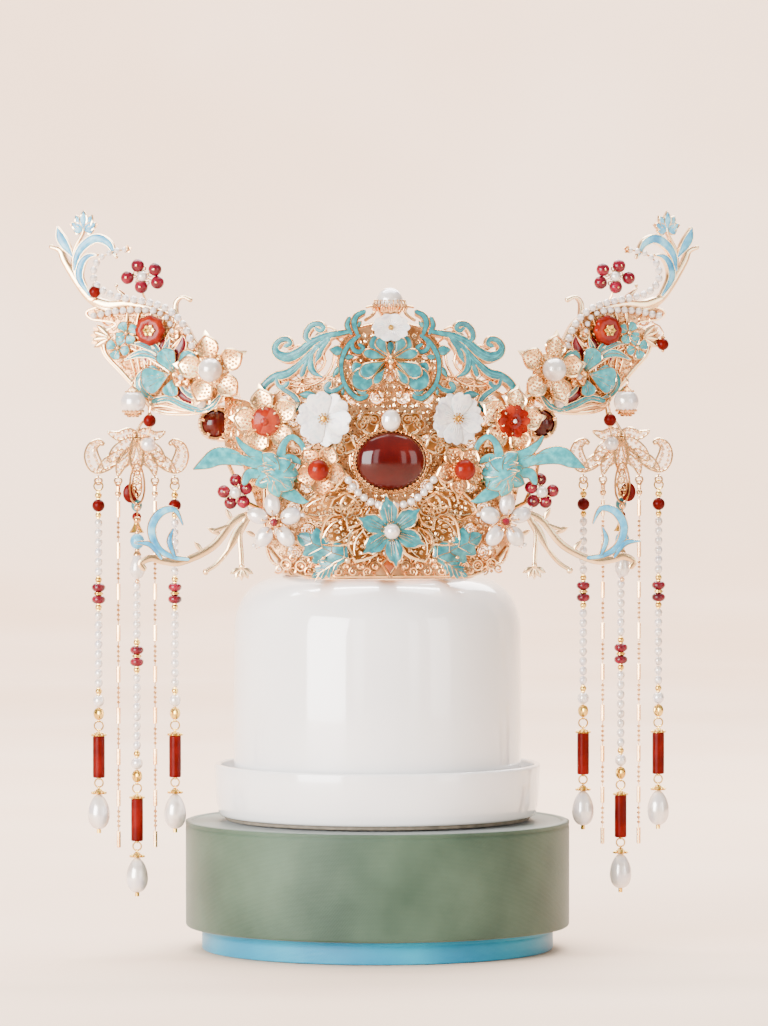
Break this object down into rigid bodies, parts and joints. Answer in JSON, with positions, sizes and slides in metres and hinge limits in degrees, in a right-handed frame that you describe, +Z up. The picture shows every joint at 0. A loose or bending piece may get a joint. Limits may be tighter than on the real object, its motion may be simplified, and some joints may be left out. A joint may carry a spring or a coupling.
{
  "type": "hair crown on a display stand",
  "caption": "Gold filigree hair crown with enamel scrollwork, pearls, carnelians and two bead tassels, set on a round white dome stand with a cloth-covered base.",
  "frame": {"origin": "on the floor under the stand's axis", "axes": "+Z up, -Y is the front, +X to the wearer's left as seen from the front"},
  "size_m": [0.2718, 0.1606, 0.3054],
  "materials": {
    "gold": "polished rose gold plating",
    "turquoise_enamel": "glossy mottled enamel",
    "pearl": "lustrous",
    "shell": "mother of pearl",
    "dark_carnelian": "polished",
    "carnelian": "polished",
    "ruby": "polished",
    "porcelain": "glossy white glaze",
    "green_cloth": "satin-woven cloth over board",
    "blue_cloth": "satin cloth over board"
  },
  "bodies": {
    "root": {"stand_foot": "blue_cloth", "stand_lid": "green_cloth", "stand_saucer": "porcelain", "stand_dome": "porcelain", "crown_frame": "gold", "crown_hoop": "gold", "side_frames": "gold", "centre_bezel": "gold", "centre_stone": "dark_carnelian", "brow_pearl": "pearl", "front_pearls": "pearl", "lotus_petals": "gold", "lower_flower": "turquoise_enamel", "crest": "turquoise_enamel", "crest_butterfly": "turquoise_enamel", "crest_pearl": "pearl", "crest_shell": "shell", "shell_flower_left": "shell", "shell_flower_right": "shell", "bead_flower_left": "gold", "bead_flower_right": "gold", "serrated_leaf_left": "turquoise_enamel", "serrated_leaf_right": "turquoise_enamel", "side_flower_left": "gold", "side_flower_right": "gold", "side_stone_left": "carnelian", "side_stone_right": "carnelian", "end_stone_left": "dark_carnelian", "end_stone_right": "dark_carnelian", "leaf_cluster_left": "turquoise_enamel", "leaf_cluster_right": "turquoise_enamel", "berry_spray_left": "ruby", "berry_spray_right": "ruby", "rice_flower_left": "pearl", "rice_flower_right": "pearl", "lower_branch_left": "gold", "lower_branch_right": "gold", "wing_frame_left": "gold", "wing_frame_right": "gold", "wing_iris_left": "turquoise_enamel", "wing_iris_right": "turquoise_enamel", "wing_flower_left": "gold", "wing_flower_right": "gold", "wing_stone_left": "carnelian", "wing_stone_right": "carnelian", "wing_beads_left": "pearl", "wing_beads_right": "pearl", "wing_drop_left": "pearl", "wing_drop_right": "pearl", "tassel_bar_left": "gold", "tassel_bar_right": "gold", "outer_strand_left": "pearl", "outer_strand_right": "pearl", "middle_strand_left": "pearl", "middle_strand_right": "pearl", "inner_strand_left": "pearl", "inner_strand_right": "pearl", "bar_chains_left": "gold", "bar_chains_right": "gold", "strand_wires": "gold"}
  },
  "joints": []
}
